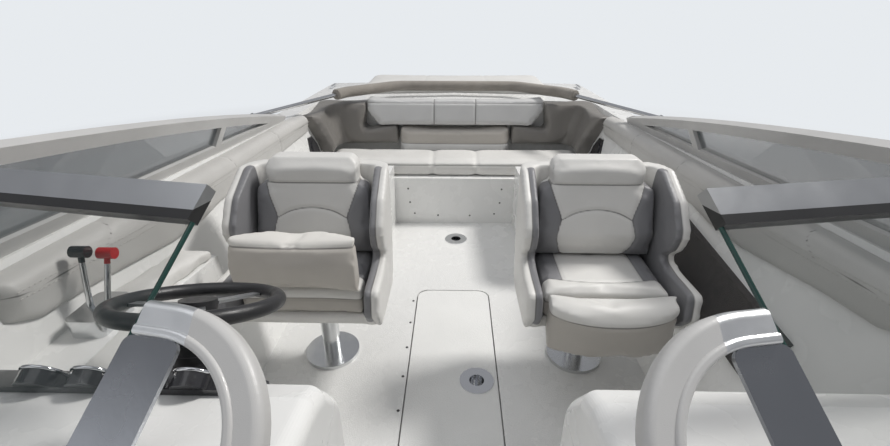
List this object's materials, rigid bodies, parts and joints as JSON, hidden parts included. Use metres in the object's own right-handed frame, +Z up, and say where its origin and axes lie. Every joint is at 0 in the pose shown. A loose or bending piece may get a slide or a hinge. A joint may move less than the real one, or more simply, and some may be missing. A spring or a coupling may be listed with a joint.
{
  "type": "speedboat",
  "caption": "Open bowrider speedboat with a wrap-round windshield, two bucket seats with flip-up bolsters, a stern lounge and a stern drive.",
  "frame": {"origin": "on the centreline at the waterline, under the steering wheel (the centre of flotation mount)", "axes": "+X to the bow, +Y to port, +Z up"},
  "size_m": [7.974, 2.6, 2.0854],
  "materials": {
    "gelcoat": "gloss",
    "gelcoat_nonskid": "satin",
    "rail_rubber": "satin",
    "vinyl_light": "satin",
    "vinyl_taupe": "satin",
    "vinyl_charcoal": "satin",
    "frame_coat": "satin",
    "window_glass": "gloss",
    "aluminium_rail": "satin",
    "stainless": "polished",
    "dash_gloss": "gloss",
    "black_rubber": "satin",
    "canvas": "matte",
    "carpet": "matte",
    "engine_block": "satin",
    "drive_paint": "gloss",
    "propeller_steel": "polished"
  },
  "bodies": {
    "boat": {"hull_stern": "gelcoat", "hull_bottom": "gelcoat", "hull_sides": "gelcoat", "hull_bow": "gelcoat", "deck": "gelcoat", "cockpit_liner": "gelcoat", "bow_liner": "gelcoat", "rub_rail": "rail_rubber", "swim_platform": "gelcoat_nonskid", "helm_console": "gelcoat", "port_console": "gelcoat", "dash_panel": "dash_gloss", "gauges": "dash_gloss", "steering_column": "black_rubber", "throttle": "stainless", "windshield_panes": "window_glass", "header_rails": "aluminium_rail", "pane_foot_rails": "frame_coat", "stay_plates": "stainless", "walkway_hoops": "frame_coat", "wing_frames": "frame_coat", "wing_glass": "window_glass", "coaming_bolsters": "vinyl_light", "wrap_backrests": "vinyl_taupe", "side_pocket": "carpet", "armrest": "vinyl_taupe", "side_boxes": "gelcoat", "lounge_seat": "vinyl_light", "lounge_lower_back": "vinyl_taupe", "lounge_upper_back": "vinyl_light", "speakers": "dash_gloss", "table_socket_aft": "stainless", "bow_cushions": "vinyl_light", "bow_backrests": "vinyl_taupe", "bow_rails": "stainless", "deck_fittings": "stainless", "engine": "engine_block", "drive_bracket": "drive_paint", "helm_pedestal": "aluminium_rail", "companion_pedestal": "aluminium_rail"},
    "steering_wheel_body": {"steering_wheel": "black_rubber"},
    "helm_seat": {"helm_seat_shell": "vinyl_light", "helm_seat_cushion": "vinyl_light", "helm_seat_back": "vinyl_light"},
    "helm_seat_bolster": {"helm_bolster": "vinyl_light"},
    "companion_seat": {"companion_seat_shell": "vinyl_light", "companion_seat_cushion": "vinyl_light", "companion_seat_back": "vinyl_light"},
    "companion_seat_bolster": {"companion_bolster": "vinyl_light"},
    "ski_locker_lid": {"locker_hatch": "gelcoat_nonskid", "table_socket_fwd": "stainless"},
    "anchor_lid": {"anchor_locker_lid": "gelcoat"},
    "engine_lid": {"engine_hatch": "gelcoat", "sunpad": "vinyl_light"},
    "glovebox_door": {"glovebox_lid": "gelcoat"},
    "sun_top": {"bimini_frame": "stainless", "bimini_roll": "canvas"},
    "drive_yoke": {"gimbal_ring": "drive_paint"},
    "drive_unit": {"drive_leg": "drive_paint"},
    "propeller_body": {"propeller": "propeller_steel"}
  },
  "joints": [
    {"name": "wheel_turn", "type": "hinge", "parent": "boat", "child": "steering_wheel_body", "pos_m": [-0.028, -0.547, 0.967], "axis": [-0.4067, 0, 0.9135], "range_deg": [-540, 540]},
    {"name": "helm_swivel", "type": "hinge", "parent": "boat", "child": "helm_seat", "pos_m": [-0.78, -0.53, 0.48], "axis": [0, 0, 1], "range_deg": [0, 180]},
    {"name": "helm_bolster_flip", "type": "hinge", "parent": "helm_seat", "child": "helm_seat_bolster", "pos_m": [-0.5, -0.53, 0.668], "axis": [0, 1, 0], "range_deg": [0, 175]},
    {"name": "companion_swivel", "type": "hinge", "parent": "boat", "child": "companion_seat", "pos_m": [-0.78, 0.53, 0.48], "axis": [0, 0, -1], "range_deg": [0, 180]},
    {"name": "companion_bolster_flip", "type": "hinge", "parent": "companion_seat", "child": "companion_seat_bolster", "pos_m": [-0.5, 0.53, 0.668], "axis": [0, -1, 0], "range_deg": [0, 175]},
    {"name": "ski_locker_lift", "type": "hinge", "parent": "boat", "child": "ski_locker_lid", "pos_m": [-0.571, 0.187, 0.152], "axis": [-1, 0, 0], "range_deg": [0, 85]},
    {"name": "anchor_lid_lift", "type": "hinge", "parent": "boat", "child": "anchor_lid", "pos_m": [3.013, 0, 1.099], "axis": [0, -1, 0], "range_deg": [0, 90]},
    {"name": "engine_lid_lift", "type": "hinge", "parent": "boat", "child": "engine_lid", "pos_m": [-2.853, 0, 0.914], "axis": [0, 1, 0], "range_deg": [0, 50]},
    {"name": "glovebox_open", "type": "hinge", "parent": "boat", "child": "glovebox_door", "pos_m": [0.172, 0.54, 0.577], "axis": [0, -1, 0], "range_deg": [0, 80]},
    {"name": "sun_top_raise", "type": "hinge", "parent": "boat", "child": "sun_top", "pos_m": [-1.72, 0, 0.975], "axis": [0, 1, 0], "range_deg": [0, 95]},
    {"name": "drive_steer", "type": "hinge", "parent": "boat", "child": "drive_yoke", "pos_m": [-3.642, 0, 0], "axis": [0, 0, 1], "range_deg": [-30, 30]},
    {"name": "drive_tilt", "type": "hinge", "parent": "drive_yoke", "child": "drive_unit", "pos_m": [-3.728, 0, 0], "axis": [0, 1, 0], "range_deg": [-5, 45]},
    {"name": "propeller_spin", "type": "hinge", "parent": "drive_unit", "child": "propeller_body", "pos_m": [-4.098, 0, -0.59], "axis": [-1, 0, 0], "continuous": true}
  ],
  "couplings": [
    {"joint": "wheel_turn", "follows": "drive_steer", "ratio": -18}
  ]
}
